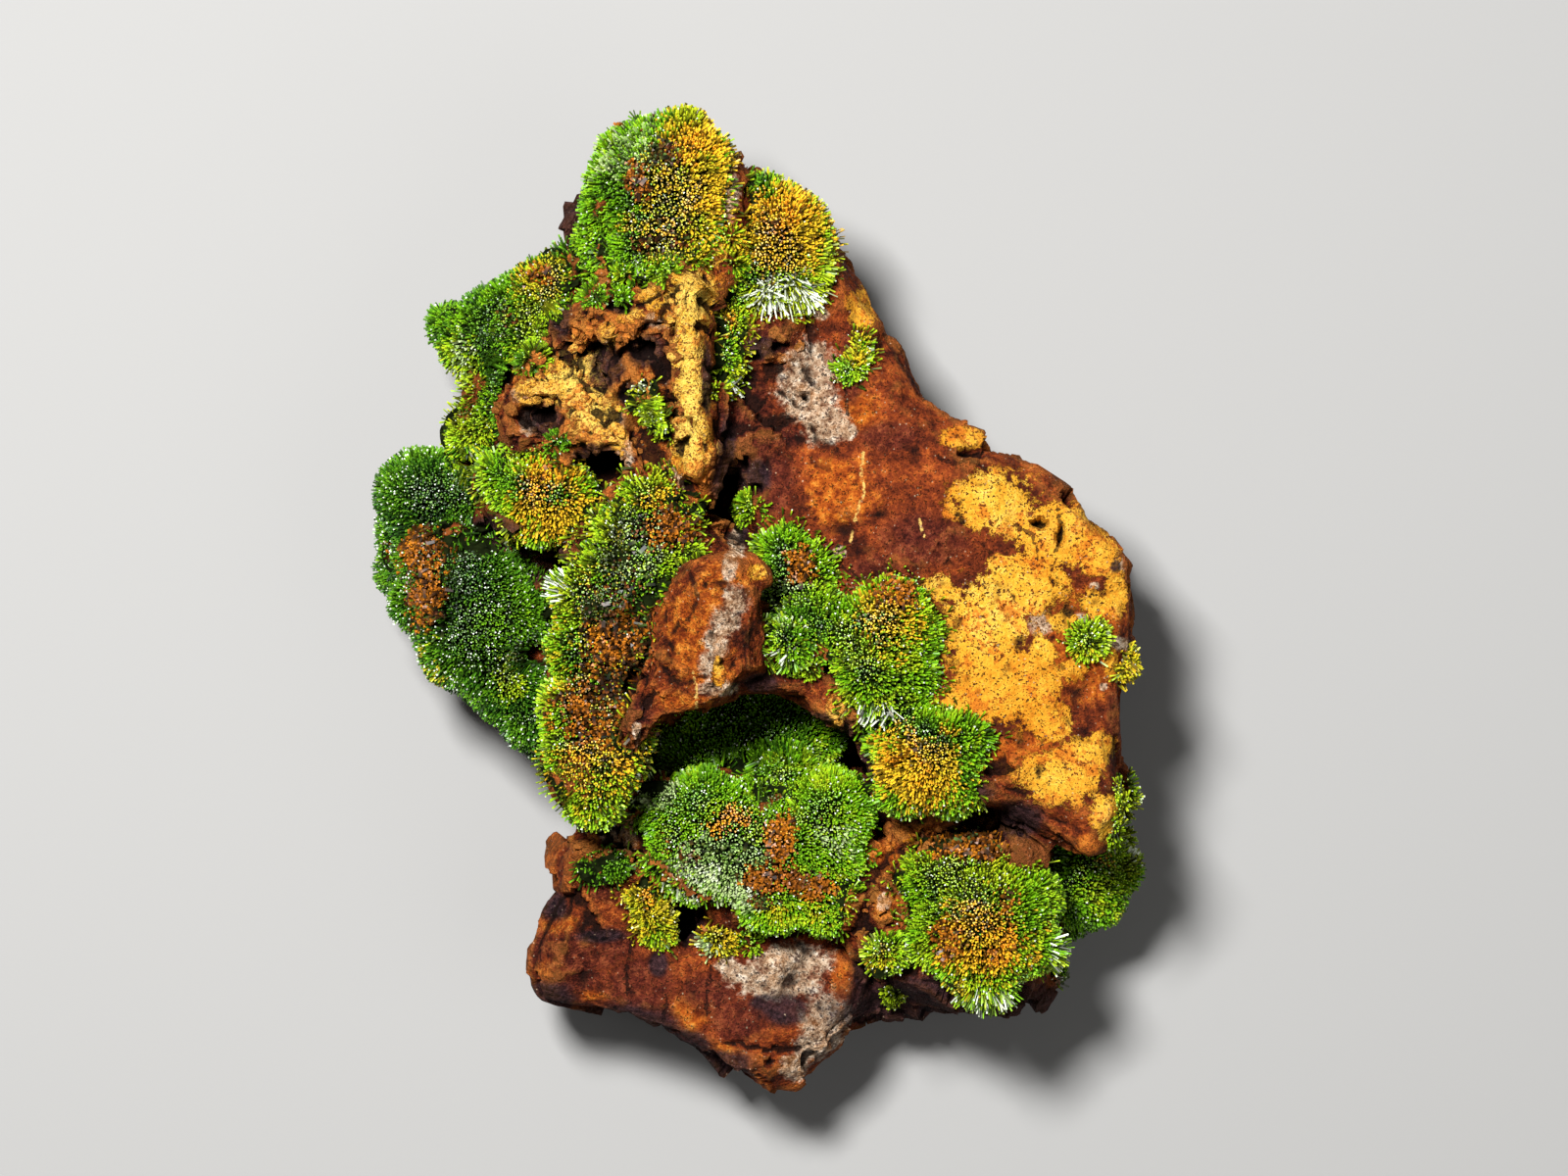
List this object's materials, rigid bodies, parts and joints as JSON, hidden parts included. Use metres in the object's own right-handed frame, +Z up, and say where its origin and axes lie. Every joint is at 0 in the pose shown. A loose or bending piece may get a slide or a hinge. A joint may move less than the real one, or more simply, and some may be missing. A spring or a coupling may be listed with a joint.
{
  "type": "pyromorphite mineral specimen",
  "caption": "Rough mineral specimen: crusts and tufts of green needle crystals on a jagged, rust-stained quartz rock, lying on its broken flat back.",
  "frame": {"origin": "on the flat resting face of the rock's broken back, under the middle of the specimen", "axes": "+Z up out of the display face; +Y towards the display face's narrow top end; +X towards the broad slab"},
  "size_m": [0.0794, 0.1006, 0.0368],
  "materials": {
    "rock": "matte",
    "crystals": "satin",
    "yellow_crystals": "satin"
  },
  "bodies": {
    "root": {"matrix": "rock", "summit_crust": "crystals", "upper_right_crust": "crystals", "left_shoulder_crust": "crystals", "left_cushions": "crystals", "mid_left_cushion": "yellow_crystals", "ridge_crust": "yellow_crystals", "slab_edge_crust": "crystals", "hollow_crust": "crystals", "shelf_dome": "crystals", "far_right_crust": "crystals", "slab_tuft": "crystals", "edge_tuft": "crystals", "slab_top_sprig": "crystals", "ochre_tuft": "crystals", "lower_left_sprig": "crystals", "lower_left_tuft": "crystals", "plate_stub": "crystals", "shelf_tuft": "crystals", "side_knob": "crystals"}
  },
  "joints": []
}
